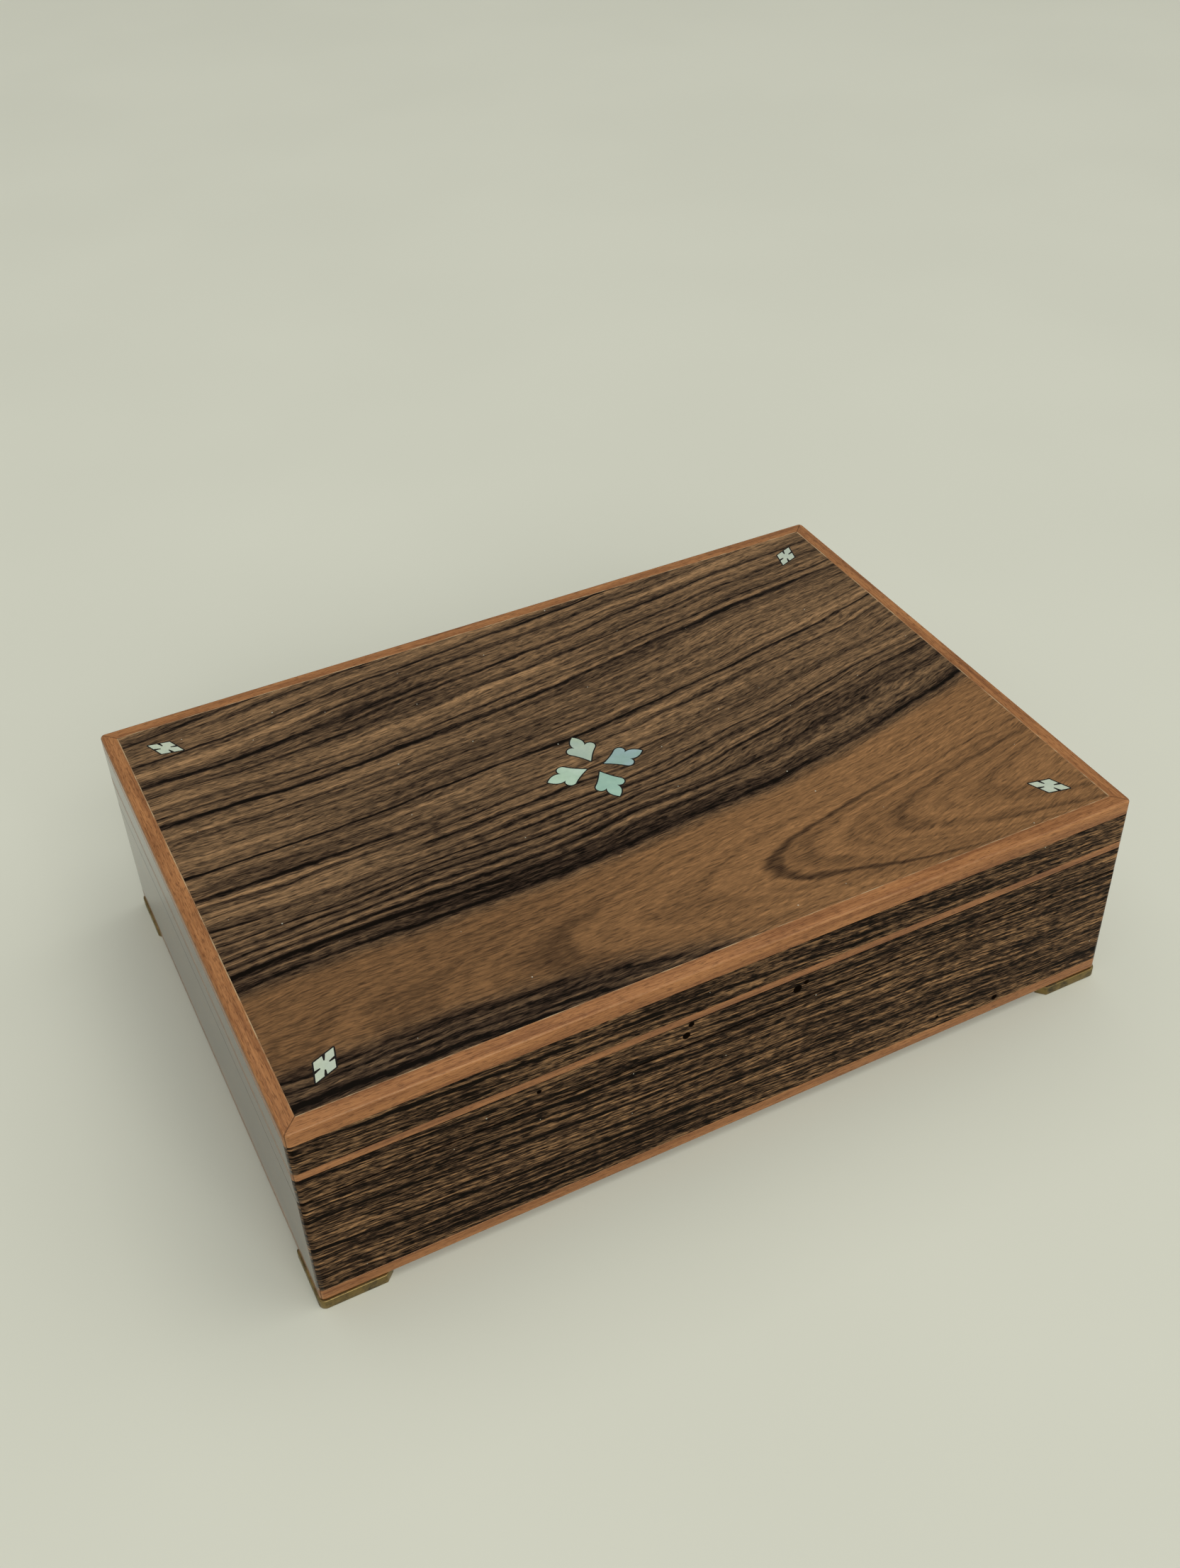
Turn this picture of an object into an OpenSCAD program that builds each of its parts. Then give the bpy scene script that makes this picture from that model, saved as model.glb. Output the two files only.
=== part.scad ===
// Lidded wooden box, veneered and edged, with stringing and shell inlays.
// Millimetres. +X runs along the front, +Z is up, and the front faces -Y.
// The origin is on the floor, under the middle of the box.

/* [Box] */
// Outer length of the box along X
box_l = 240; // [220:1:280]
// Outer depth of the box along Y
box_d = 166; // [140:1:200]
// Height of the base without its feet
base_h = 39; // [30:1:60]
// Height of the lid
lid_h = 25; // [22:0.5:32]
// Radius of the four upright corners
corner_r = 1.5; // [1:0.1:2.5]
// Gap between the rims of the lid and the base
rim_gap = 0.2; // [0.1:0.1:0.4]

/* [Boards and veneer] */
// Thickness of the core boards of the walls
board_t = 7; // [6.5:0.5:9]
// Thickness of the face veneer
veneer_t = 1; // [0.8:0.1:1.2]

/* [Edging and stringing] */
// Width of the edging strips, seen from above or below
edging_w = 4.4; // [3:0.2:6]
// Height of the edging around the top of the lid
lid_edging_h = 4.4; // [3.4:0.2:6]
// Height of the edging around the foot of the base
base_edging_h = 4; // [3.4:0.2:6]
// Rounding of the long outer edges of the edging
arris_r = 0.8; // [0.4:0.1:1.2]
// Height of the stringing line around the lid
string_h = 2.2; // [1:0.1:3]
// Depth of the groove that the stringing lies in
string_t = 0.6; // [0.4:0.1:0.7]
// Distance from the top of the lid down to the stringing
string_drop = 14.3; // [8:0.1:16]

/* [Feet] */
// Height of the four corner feet
foot_h = 3; // [2:0.5:6]
// Side of a corner foot
foot_w = 20; // [14:1:26]
// Cut across the free corners of a foot
foot_cut = 2.3; // [1:0.1:4]
// How far the feet stand proud of the box
foot_proud = 0.4; // [0.1:0.1:0.8]

/* [Centre inlay] */
// Distance from the middle of the lid to the inner tip of a leaf
leaf_inner = 2.7; // [2:0.1:4]
// Length of one leaf from tip to tip
leaf_l = 12.1; // [10:0.1:14]
// Radius of the two round lobes of a leaf
lobe_r = 1.55; // [1.3:0.05:1.7]

/* [Corner inlays] */
// Long diagonal of a corner lozenge
lozenge_l = 11; // [9:0.5:14]
// Short diagonal of a corner lozenge
lozenge_w = 5.7; // [5:0.1:7]
// Angle from X to the long diagonal of the front left and back right lozenges
lozenge_turn = 49; // [35:1:55]
// The same angle of the other two lozenges
other_lozenge_turn = 39; // [35:1:55]
// Distance from the outer faces to the middle of a lozenge
lozenge_in = 15.5; // [13:0.5:22]
// Width of the cut in each side of a lozenge, at its mouth
notch_w = 0.8; // [0.4:0.1:1]
// Depth of that cut
notch_d = 1.7; // [1:0.05:1.8]
// Width of the dark filler line around each inlay
filler_w = 0.4; // [0.3:0.1:0.6]

/* [Hinges] */
// Length of one hinge along X
hinge_l = 32; // [28:1:36]
// Distance from the middle of the box to the middle of a hinge
hinge_x = 75; // [50:1:76]
// Radius of the hinge barrel
barrel_r = 2; // [1.8:0.1:2.3]
// Radius of the hinge pin
pin_r = 0.8; // [0.6:0.1:1]
// How far the pin's axis stands behind the back face
axis_out = 0.6; // [0.4:0.1:1]
// Width of a hinge leaf, from the back face inwards
leaf_w = 6.5; // [6:0.1:6.9]
// Thickness of a hinge leaf
leaf_t = 1.2; // [1:0.1:1.4]

/* [Lining] */
// Thickness of the cloth-covered lining cards
lining_t = 1.5; // [1:0.1:2.5]
// Thickness of the padded floor
floor_pad_t = 4; // [3:0.5:6]
// Thickness of the padded ceiling of the lid
lid_pad_t = 3; // [2:0.5:5]

/* [Hidden] */
$fn = 48;
side_names = ["front", "right", "back", "left"];
corner_names = ["front_left", "front_right", "back_right", "back_left"];
hinge_names = ["left", "right"];
// Which way each corner lies from the middle, and each hinge along X
corner_signs = [[-1, -1], [1, -1], [1, 1], [-1, 1]];
hinge_signs = [-1, 1];

// Levels, from the floor up
joint_z = foot_h + base_h;
base_rim = joint_z - rim_gap / 2;
lid_rim = joint_z + rim_gap / 2;
top_z = joint_z + lid_h;
base_edging_top = foot_h + base_edging_h;
lid_edging_low = top_z - lid_edging_h;
string_top = top_z - string_drop;

// Walls: the inner face of the boards and of the lining
wall_t = veneer_t + board_t;
pad_gap = 0.3;
lining_drop = 0.6;

// Leaf of the centre inlay, along its own axis from the middle of the lid. The
// fractions are of its length: middle of a lobe, and the points its two curves bend to
tip_in = leaf_inner;
tip_out = leaf_inner + leaf_l;
lobe_middle = [0.52, 0.227];
inner_bend = [0.29, 0.165];
outer_bend = [0.81, 0.225];
lobe_from = 138;
lobe_to = -48;
curve_steps = 8;
bed_facets = 24;

// Hinge: knuckles along the barrel, with the odd ones on the lid
knuckles = 5;
knuckle_gap = 0.15;
swing_gap = 0.3;
pin_fit = 0.01;
pin_play = 0.05;
pin_head_r = 1.3;
pin_head_t = 0.6;
axis_y = box_d / 2 + axis_out;
screw_count = 3;
screw_pitch = hinge_l / screw_count;
screw_in = 3.8;
screw_y = box_d / 2 - screw_in;
screw_r = 0.8;
screw_head_r = 1.7;
screw_head_t = 0.9;
screw_l = 5.5;
screw_play = 0.1;
slot_w = 0.4;
foot_screw_head_r = 2.2;
foot_screw_head_t = 1.4;
foot_screw_bite = 2.5;
foot_screw_l = foot_h + foot_screw_bite;
overcut = 1;
// Width of a lozenge's cut at its end
notch_tip = notch_w * 0.45;

// ---- Mitred strips, which all four sides are made of ----

// Sides are numbered 0 front, 1 right, 2 back, 3 left
function side_half(side) = (side % 2 == 0 ? box_l : box_d) / 2;
function side_out(side) = (side % 2 == 0 ? box_d : box_l) / 2;

// Puts a shape made along X, with its outer face on y = 0, on one side of the box
module on_side(side) {
    rotate([0, 0, 90 * side])
        translate([0, -side_out(side), 0])
            children();
}

// Strip with 45 degree mitres, its outer face a given depth inside the box
module mitred_strip(side, inset, t, z0, z1) {
    half = side_half(side) - inset;
    on_side(side)
        translate([0, inset, z0])
            linear_extrude(z1 - z0)
                polygon([[-half, 0], [half, 0], [half - t, t], [t - half, t]]);
}

// Upright block with the rounded corners of the box
module rounded_block(l, d, r, z0, z1) {
    translate([0, 0, z0])
        linear_extrude(z1 - z0) {
            square([l - 2 * r, d], center = true);
            square([l, d - 2 * r], center = true);
            for (c = corner_signs)
                translate([c[0] * (l / 2 - r), c[1] * (d / 2 - r)])
                    circle(r);
        }
}

// Mitred strip that ends in the rounded corners of the box
module outer_strip(side, t, z0, z1) {
    intersection() {
        mitred_strip(side, 0, t, z0, z1);
        rounded_block(box_l, box_d, corner_r, z0, z1);
    }
}

// ---- Walls ----

// Space cut out of the back for the hinge barrels and leaves
module hinge_room(z0, z1) {
    for (s = hinge_signs)
        translate([s * hinge_x, 0, 0]) {
            translate([-hinge_l / 2 - pin_head_t - swing_gap, axis_y, joint_z])
                rotate([0, 90, 0])
                    cylinder(h = hinge_l + 2 * (pin_head_t + swing_gap), r = barrel_r + swing_gap);
            translate([-hinge_l / 2, box_d / 2 - leaf_w, z0])
                cube([hinge_l, leaf_w + overcut, z1 - z0]);
        }
}

// Holes for the hinge screws, running up or down from the rim
module screw_holes(up) {
    for (s = hinge_signs, i = [0:screw_count - 1])
        translate([s * hinge_x + (i - (screw_count - 1) / 2) * screw_pitch, screw_y, joint_z])
            mirror([0, 0, up ? 0 : 1])
                cylinder(h = screw_l + rim_gap, r = screw_r + screw_play);
}

module base_board(side) {
    color("peru")
        difference() {
            mitred_strip(side, veneer_t, board_t, base_edging_top, base_rim);
            if (side == 2) {
                hinge_room(base_rim - leaf_t, base_rim + overcut);
                screw_holes(false);
            }
        }
}

module base_veneer(side) {
    color("saddlebrown")
        difference() {
            outer_strip(side, veneer_t, base_edging_top, base_rim);
            if (side == 2)
                hinge_room(base_rim - leaf_t, base_rim + overcut);
        }
}

module lid_board(side) {
    color("peru")
        difference() {
            mitred_strip(side, veneer_t, board_t, lid_rim, lid_edging_low);
            if (side == 2) {
                hinge_room(lid_rim - overcut, lid_rim + leaf_t);
                screw_holes(true);
            }
        }
}

// Side veneer of the lid, with the groove that the stringing lies in
module lid_veneer(side) {
    color("saddlebrown")
        difference() {
            outer_strip(side, veneer_t, lid_rim, lid_edging_low);
            mitred_strip(side, -overcut, string_t + overcut, string_top - string_h, string_top);
            if (side == 2)
                hinge_room(lid_rim - overcut, lid_rim + leaf_t);
        }
}

module stringing(side) {
    color("sienna") outer_strip(side, string_t, string_top - string_h, string_top);
}

// ---- Edging: square strips with the outer long edge rounded ----

// Profile of an edging strip, its outer face on x = 0, rounded at the top
module edging_profile(h) {
    translate([arris_r, 0])
        square([edging_w - arris_r, h]);
    square([edging_w, h - arris_r]);
    translate([arris_r, h - arris_r])
        circle(arris_r);
}

// The profile run along one side, the right way up or upside down
module edging_strip(side, h, z0, up) {
    half = side_half(side);
    intersection() {
        outer_strip(side, edging_w, z0, z0 + h);
        on_side(side)
            translate([-half, 0, up ? z0 : z0 + h])
                mirror([0, 0, up ? 0 : 1])
                    rotate([90, 0, 90])
                        linear_extrude(2 * half)
                            edging_profile(h);
    }
}

module top_edging(side) {
    color("chocolate") edging_strip(side, lid_edging_h, lid_edging_low, true);
}

module bottom_edging(side) {
    color("chocolate") edging_strip(side, base_edging_h, foot_h, false);
}

// ---- Flat panels ----

module base_bottom_panel() {
    color("burlywood")
        difference() {
            translate([edging_w - box_l / 2, edging_w - box_d / 2, foot_h])
                cube([box_l - 2 * edging_w, box_d - 2 * edging_w, base_edging_h]);
            foot_screw_places()
                cylinder(h = foot_screw_l + screw_play, r = screw_r + screw_play);
        }
}

module lid_top_board() {
    color("peru")
        translate([edging_w - box_l / 2, edging_w - box_d / 2, lid_edging_low])
            cube([box_l - 2 * edging_w, box_d - 2 * edging_w, lid_edging_h - veneer_t]);
}

module lid_top_veneer() {
    color("saddlebrown")
        translate([0, 0, top_z - veneer_t])
            linear_extrude(veneer_t)
                difference() {
                    square([box_l - 2 * edging_w, box_d - 2 * edging_w], center = true);
                    bed_outlines();
                }
}

// ---- Inlays ----

// Point on a curve from a to c that bends towards b
function bend(a, b, c, t) = (1 - t) * (1 - t) * a + 2 * t * (1 - t) * b + t * t * c;
function on_leaf(part) = [tip_in + leaf_l * part[0], leaf_l * part[1]];
function lobe_point(angle) = on_leaf(lobe_middle) + lobe_r * [cos(angle), sin(angle)];

// One half of a leaf: hollow flank, round lobe, then the pointed outer lobe
half_leaf = concat(
    [for (i = [0:curve_steps - 1])
        bend([tip_in, 0], on_leaf(inner_bend), lobe_point(lobe_from), i / curve_steps)],
    [for (i = [0:curve_steps])
        lobe_point(lobe_from + (lobe_to - lobe_from) * i / curve_steps)],
    [for (i = [1:curve_steps])
        bend(lobe_point(lobe_to), on_leaf(outer_bend), [tip_out, 0], i / curve_steps)]
);
half_count = len(half_leaf);
leaf_outline = concat(
    half_leaf,
    [for (i = [half_count - 2:-1:1]) [half_leaf[i][0], -half_leaf[i][1]]]
);

module leaf_2d(side) {
    rotate(90 * side - 90) polygon(leaf_outline);
}

// Moves a shape to one corner of the lid, with its X axis pointing at the corner
module at_corner(i) {
    c = corner_signs[i];
    turn = c[0] * c[1] > 0 ? lozenge_turn : other_lozenge_turn;
    translate([c[0] * (box_l / 2 - lozenge_in), c[1] * (box_d / 2 - lozenge_in)])
        rotate(c[0] > 0 ? c[1] * turn : 180 - c[1] * turn)
            children();
}

module whole_lozenge() {
    polygon([[lozenge_l / 2, 0], [0, lozenge_w / 2], [-lozenge_l / 2, 0], [0, -lozenge_w / 2]]);
}

// Cut along +X that narrows to its end
module notch() {
    polygon([[-overcut, -notch_w / 2], [0, -notch_w / 2], [notch_d, -notch_tip / 2],
             [notch_d, notch_tip / 2], [0, notch_w / 2], [-overcut, notch_w / 2]]);
}

// Lozenge with a tapered cut in the middle of each side, parallel to the sides beside it
module notched_lozenge() {
    slope = atan2(lozenge_w, lozenge_l);
    difference() {
        whole_lozenge();
        for (x = [-1, 1], y = [-1, 1])
            translate([x * lozenge_l / 4, y * lozenge_w / 4])
                rotate(x * y * slope + (x > 0 ? 180 : 0))
                    notch();
    }
}

// Pockets cut through the top veneer for the inlays and their filler
module bed_outlines() {
    for (side = [0:3])
        offset(r = filler_w, $fn = bed_facets) leaf_2d(side);
    for (i = [0:3])
        at_corner(i) offset(r = filler_w, $fn = bed_facets) whole_lozenge();
}

module centre_inlay(side) {
    color("honeydew")
        translate([0, 0, top_z - veneer_t])
            linear_extrude(veneer_t)
                leaf_2d(side);
}

module corner_inlay(i) {
    color("honeydew")
        translate([0, 0, top_z - veneer_t])
            linear_extrude(veneer_t)
                at_corner(i) notched_lozenge();
}

module inlay_filler_beds() {
    color("black")
        translate([0, 0, top_z - veneer_t])
            linear_extrude(veneer_t)
                difference() {
                    bed_outlines();
                    for (side = [0:3])
                        leaf_2d(side);
                    for (i = [0:3])
                        at_corner(i) notched_lozenge();
                }
}

// ---- Feet ----

// Foot in its corner, its outer corner rounded like the box and the others cut off
module foot_outline() {
    out = corner_r + foot_proud;
    difference() {
        union() {
            translate([out, out])
                circle(out);
            translate([out, 0])
                square([foot_w - out, foot_w]);
            translate([0, out])
                square([foot_w, foot_w - out]);
        }
        for (p = [[foot_w, 0], [foot_w, foot_w], [0, foot_w]])
            translate(p)
                rotate(45)
                    square(foot_cut * sqrt(2), center = true);
    }
}

// Moves a shape to one corner, with its own corner at the origin before the move
module at_foot(i) {
    c = corner_signs[i];
    translate([c[0] * (box_l / 2 + foot_proud), c[1] * (box_d / 2 + foot_proud), 0])
        mirror([c[0] > 0 ? 1 : 0, 0, 0])
            mirror([0, c[1] > 0 ? 1 : 0, 0])
                children();
}

module foot_screw_places() {
    for (i = [0:3])
        at_foot(i)
            translate([foot_w / 2, foot_w / 2, 0])
                children();
}

// Countersunk screw standing on its head
module countersunk(head_r, head_t, l) {
    cylinder(h = head_t, r1 = head_r, r2 = screw_r);
    cylinder(h = l, r = screw_r);
}

// Hole around such a screw, open under its head
module countersink(head_r, head_t, l) {
    translate([0, 0, -overcut])
        cylinder(h = overcut, r = head_r + screw_play);
    cylinder(h = head_t, r1 = head_r + screw_play, r2 = screw_r + screw_play);
    cylinder(h = l, r = screw_r + screw_play);
}

module foot(i) {
    color("darkkhaki")
        difference() {
            at_foot(i)
                linear_extrude(foot_h)
                    foot_outline();
            foot_screw_places()
                translate([0, 0, screw_play])
                    countersink(foot_screw_head_r, foot_screw_head_t, foot_h + overcut);
        }
}

module foot_screws() {
    color("goldenrod")
        foot_screw_places()
            difference() {
                translate([0, 0, screw_play])
                    countersunk(foot_screw_head_r, foot_screw_head_t, foot_screw_l);
                translate([-foot_screw_head_r, -slot_w / 2, 0])
                    cube([2 * foot_screw_head_r, slot_w, 2 * slot_w]);
            }
}

// ---- Hinges ----

knuckle_l = hinge_l / knuckles;

// Cylinder along the pin's axis, between two places on one hinge
module along_pin(x0, x1, r) {
    translate([x0, axis_y, joint_z])
        rotate([0, 90, 0])
            cylinder(h = x1 - x0, r = r);
}

// One leaf: first is the first knuckle it owns, 0 on the base and 1 on the lid
module hinge_leaf(first, z0, bore_play) {
    difference() {
        union() {
            translate([-hinge_l / 2, box_d / 2 - leaf_w, z0])
                cube([hinge_l, leaf_w + axis_out, leaf_t]);
            for (k = [first:2:knuckles - 1])
                along_pin(knuckle_l * k - hinge_l / 2 + knuckle_gap,
                          knuckle_l * (k + 1) - hinge_l / 2 - knuckle_gap, barrel_r);
        }
        for (k = [1 - first:2:knuckles - 1])
            along_pin(knuckle_l * k - hinge_l / 2 - knuckle_gap,
                      knuckle_l * (k + 1) - hinge_l / 2 + knuckle_gap, barrel_r + swing_gap);
        along_pin(-hinge_l / 2 - overcut, hinge_l / 2 + overcut, pin_r + bore_play);
        for (i = [0:screw_count - 1])
            translate([(i - (screw_count - 1) / 2) * screw_pitch, screw_y, joint_z])
                mirror([0, 0, first == 0 ? 1 : 0])
                    translate([0, 0, rim_gap / 2 + screw_play])
                        countersink(screw_head_r, screw_head_t, 2 * leaf_t);
    }
}

module hinge_base_leaf(i) {
    color("gold")
        translate([hinge_signs[i] * hinge_x, 0, 0])
            hinge_leaf(0, base_rim - leaf_t, pin_fit);
}

module hinge_lid_leaf(i) {
    color("gold")
        translate([hinge_signs[i] * hinge_x, 0, 0])
            hinge_leaf(1, lid_rim, pin_play);
}

module hinge_pin(i) {
    color("darkgoldenrod")
        translate([hinge_signs[i] * hinge_x, 0, 0]) {
            along_pin(-hinge_l / 2 - pin_head_t, hinge_l / 2 + pin_head_t, pin_r);
            along_pin(-hinge_l / 2 - pin_head_t, -hinge_l / 2, pin_head_r);
            along_pin(hinge_l / 2, hinge_l / 2 + pin_head_t, pin_head_r);
        }
}

// Screws of both hinges on the base or on the lid, heads just under the rim
module hinge_screws(up) {
    color("goldenrod")
        for (s = hinge_signs, i = [0:screw_count - 1])
            translate([s * hinge_x + (i - (screw_count - 1) / 2) * screw_pitch, screw_y, joint_z])
                mirror([0, 0, up ? 0 : 1])
                    translate([0, 0, rim_gap / 2 + screw_play])
                        difference() {
                            countersunk(screw_head_r, screw_head_t, screw_l - screw_play);
                            translate([-screw_head_r, -slot_w / 2, -overcut])
                                cube([2 * screw_head_r, slot_w, overcut + slot_w]);
                        }
}

// ---- Lining ----

module base_lining(side) {
    color("darkred")
        mitred_strip(side, wall_t, lining_t, base_edging_top, base_rim - lining_drop);
}

module base_floor_pad() {
    room = wall_t + lining_t + pad_gap;
    color("firebrick")
        translate([room - box_l / 2, room - box_d / 2, base_edging_top])
            cube([box_l - 2 * room, box_d - 2 * room, floor_pad_t]);
}

module lid_ceiling_pad() {
    room = wall_t + pad_gap;
    color("firebrick")
        translate([room - box_l / 2, room - box_d / 2, lid_edging_low - lid_pad_t])
            cube([box_l - 2 * room, box_d - 2 * room, lid_pad_t]);
}

// ---- Nodes ----

for (i = [0:3]) {
    base_board(i);
    base_veneer(i);
    bottom_edging(i);
    base_lining(i);
    lid_board(i);
    lid_veneer(i);
    stringing(i);
    top_edging(i);
    centre_inlay(i);
    foot(i);
    corner_inlay(i);
}
for (i = [0:1]) {
    hinge_base_leaf(i);
    hinge_lid_leaf(i);
    hinge_pin(i);
}
base_bottom_panel();
foot_screws();
base_floor_pad();
hinge_screws(false);  // base_hinge_screws
lid_top_board();
lid_top_veneer();
inlay_filler_beds();
lid_ceiling_pad();
hinge_screws(true);  // lid_hinge_screws
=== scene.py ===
# %% [markdown]
# # An inlaid wooden box
# This lesson dresses a small lidded box: dark figured veneer, red-brown edging,
# shell inlays set in black filler, brass feet and hinges, and a velvet lining.
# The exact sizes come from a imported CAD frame, so the first step is to load it.
# CAD solids whose shape is already right stay and only get a finish. Pieces that
# need softer or finer shapes are modelled again here and stand in for them.

import math

import bmesh
import bpy
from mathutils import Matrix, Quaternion, Vector


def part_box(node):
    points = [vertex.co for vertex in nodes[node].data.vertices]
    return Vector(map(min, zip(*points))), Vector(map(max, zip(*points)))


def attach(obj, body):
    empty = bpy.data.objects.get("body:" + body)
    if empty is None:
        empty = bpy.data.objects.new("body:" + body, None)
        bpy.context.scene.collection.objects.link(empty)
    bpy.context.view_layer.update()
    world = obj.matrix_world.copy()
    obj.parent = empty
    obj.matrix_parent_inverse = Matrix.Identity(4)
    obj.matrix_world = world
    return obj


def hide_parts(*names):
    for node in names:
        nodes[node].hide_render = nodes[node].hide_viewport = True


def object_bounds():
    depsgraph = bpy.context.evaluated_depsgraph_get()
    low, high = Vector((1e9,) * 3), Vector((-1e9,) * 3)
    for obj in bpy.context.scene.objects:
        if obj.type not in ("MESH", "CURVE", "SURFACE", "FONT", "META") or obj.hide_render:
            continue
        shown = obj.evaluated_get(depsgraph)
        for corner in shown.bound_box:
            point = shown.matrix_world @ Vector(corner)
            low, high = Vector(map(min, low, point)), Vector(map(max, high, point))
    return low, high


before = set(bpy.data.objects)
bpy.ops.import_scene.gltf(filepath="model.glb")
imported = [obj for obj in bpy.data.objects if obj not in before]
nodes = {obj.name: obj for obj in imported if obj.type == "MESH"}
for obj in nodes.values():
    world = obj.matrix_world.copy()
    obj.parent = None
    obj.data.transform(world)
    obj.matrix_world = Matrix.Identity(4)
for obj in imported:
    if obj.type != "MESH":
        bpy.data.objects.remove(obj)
cad_low, cad_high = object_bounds()
print("CAD box, mm:", [round(1000 * s, 1) for s in cad_high - cad_low])

# %% [markdown]
# ## Camera
# The box is seen from the front left and from well above, with the camera tipped
# a little to one side. A camera can be turned by three angles, but a look-at
# direction with a small roll about it is easier to read and to adjust.

# %% Camera
EYE = Vector((-0.1566, -0.3280, 0.3613))
AIM = Vector((0.0091, 0.0233, 0.0400))
ROLL = math.radians(-2.35)

camera_data = bpy.data.cameras.new("camera")
camera_data.lens = 38.33
camera_data.sensor_width = 36
camera_data.clip_start = 0.01
camera = bpy.data.objects.new("camera", camera_data)
bpy.context.collection.objects.link(camera)
camera.location = EYE
camera.rotation_mode = "QUATERNION"
toward = (AIM - EYE).to_track_quat("-Z", "Y")
camera.rotation_quaternion = toward @ Quaternion((0, 0, 1), ROLL)
bpy.context.scene.camera = camera
print("camera stands", round((AIM - EYE).length, 3), "m from the box")

# %% [markdown]
# ## Picking by place
# The box is modelled with the same operators that a hand would use: add a block,
# pick edges or faces, bevel, inset, bisect. A script has no mouse, so it picks an
# edge by where its middle lies and which way it runs, and a face by its middle
# and its normal. These helpers do that, and always start with nothing selected.

# %% Helpers for modelling
MM = 0.001
NEAR = 0.01 * MM


def let_go():
    """Leaves edit mode and deselects every object."""
    if bpy.context.object and bpy.context.object.mode != "OBJECT":
        bpy.ops.object.mode_set(mode="OBJECT")
    bpy.ops.object.select_all(action="DESELECT")


def take(piece):
    """Makes a piece the only selected one."""
    let_go()
    piece.select_set(True)
    bpy.context.view_layer.objects.active = piece


def keep_place(name):
    """Moves the active object's place, turn and size into its mesh, and names it."""
    bpy.ops.object.transform_apply(location=True, rotation=True, scale=True)
    piece = bpy.context.object
    piece.name = name
    piece.data.name = name
    return piece


def block(name, low, high):
    """A block between two corners, with its place already in its mesh."""
    let_go()
    low, high = Vector(low), Vector(high)
    bpy.ops.mesh.primitive_cube_add(size=1, location=(low + high) / 2, scale=high - low)
    return keep_place(name)


def pick(kind, wanted):
    """Selects the edges or faces of the mesh in edit mode that pass a test."""
    bpy.ops.mesh.select_mode(type=kind)
    bpy.ops.mesh.select_all(action="DESELECT")
    mesh = bpy.context.object.data
    shape = bmesh.from_edit_mesh(mesh)
    found = 0
    for part in shape.edges if kind == "EDGE" else shape.faces:
        if kind == "EDGE":
            a, b = part.verts[0].co, part.verts[1].co
            fits = wanted((a + b) / 2, (b - a).normalized())
        else:
            fits = wanted(part.calc_center_median(), part.normal)
        if fits:
            part.select_set(True)
            found += 1
    bmesh.update_edit_mesh(mesh)
    return found


def ease(piece, width, steps=2, angle=30):
    """Rounds every sharp edge of a piece a little, and smooths its shading."""
    take(piece)
    eased = piece.modifiers.new("eased edges", "BEVEL")
    eased.width = width
    eased.segments = steps
    eased.limit_method = "ANGLE"
    eased.angle_limit = math.radians(angle)
    bpy.ops.object.modifier_apply(modifier=eased.name)
    bpy.ops.object.shade_smooth_by_angle(angle=math.radians(angle))


def turned_copy(piece, name, degrees):
    """A copy with its own mesh, turned about the upright middle of the box."""
    take(piece)
    bpy.ops.object.duplicate(linked=False)
    bpy.context.object.rotation_euler = (0, 0, math.radians(degrees))
    return keep_place(name)


# %% [markdown]
# ## Edging strips
# Solid strips cover the raw corner between two veneered faces. A joiner planes a
# square strip, rounds its outer long edge, the arris, saws both ends at 45 degrees
# and glues four of them around the box. Beveling one ring of edging would be
# quicker, but its grain could not change direction at the mitres, so each strip
# is made on its own, in the same order of work. Opposite strips are copies.

# %% Edging strips
EDGING_W = 4.4 * MM
CORNER_R = 1.5 * MM
ARRIS_R = 0.8 * MM
FINE_EDGE = 0.06 * MM
HALF_L = 120 * MM
HALF_D = 83 * MM


def saw_mitres(half, out):
    """Cuts both ends of the strip in edit mode at 45 degrees and closes them."""
    for end in (-1, 1):
        bpy.ops.mesh.select_all(action="SELECT")
        bpy.ops.mesh.bisect(
            plane_co=(end * half, -out, 0),
            plane_no=(-end, -1, 0),
            use_fill=True,
            clear_inner=True,
        )
    bpy.ops.mesh.select_all(action="SELECT")
    bpy.ops.mesh.normals_make_consistent(inside=False)


def edging_strip(name, half, out, low, high, rounded):
    """A strip along X with its outer face on y = -out, rounded at one level."""
    strip = block(name, (-half, -out, low), (half, EDGING_W - out, high))
    bpy.ops.object.mode_set(mode="EDIT")
    pick("EDGE", lambda m, d: abs(d.z) > 0.9 and m.y < NEAR - out)
    bpy.ops.mesh.bevel(offset=CORNER_R, segments=8, affect="EDGES")
    inner = EDGING_W - out - NEAR
    arris = pick("EDGE", lambda m, d: abs(m.z - rounded) < NEAR and m.y < inner)
    bpy.ops.mesh.bevel(offset=ARRIS_R, segments=5, affect="EDGES")
    saw_mitres(half, out)
    ease(strip, FINE_EDGE, 1, 40)
    print(name, "arris edges rounded:", arris, "faces:", len(strip.data.polygons))
    return strip


SIDES = ("front", "right", "back", "left")
SIDE_SIZE = ((HALF_L, HALF_D), (HALF_D, HALF_L))


def four_strips(pattern, make):
    """Makes a long and a short strip, turns them to their sides, copies both."""
    strips = []
    for turn, side in enumerate(SIDES[:2]):
        half, out = SIDE_SIZE[turn]
        name = pattern.format(side)
        strip = make(name, half, out)
        take(strip)
        strip.rotation_euler = (0, 0, math.radians(90 * turn))
        strips.append(keep_place(name))
    for strip, side in zip(strips[:2], SIDES[2:]):
        strips.append(turned_copy(strip, pattern.format(side), 180))
    return dict(zip(SIDES, strips))


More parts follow.
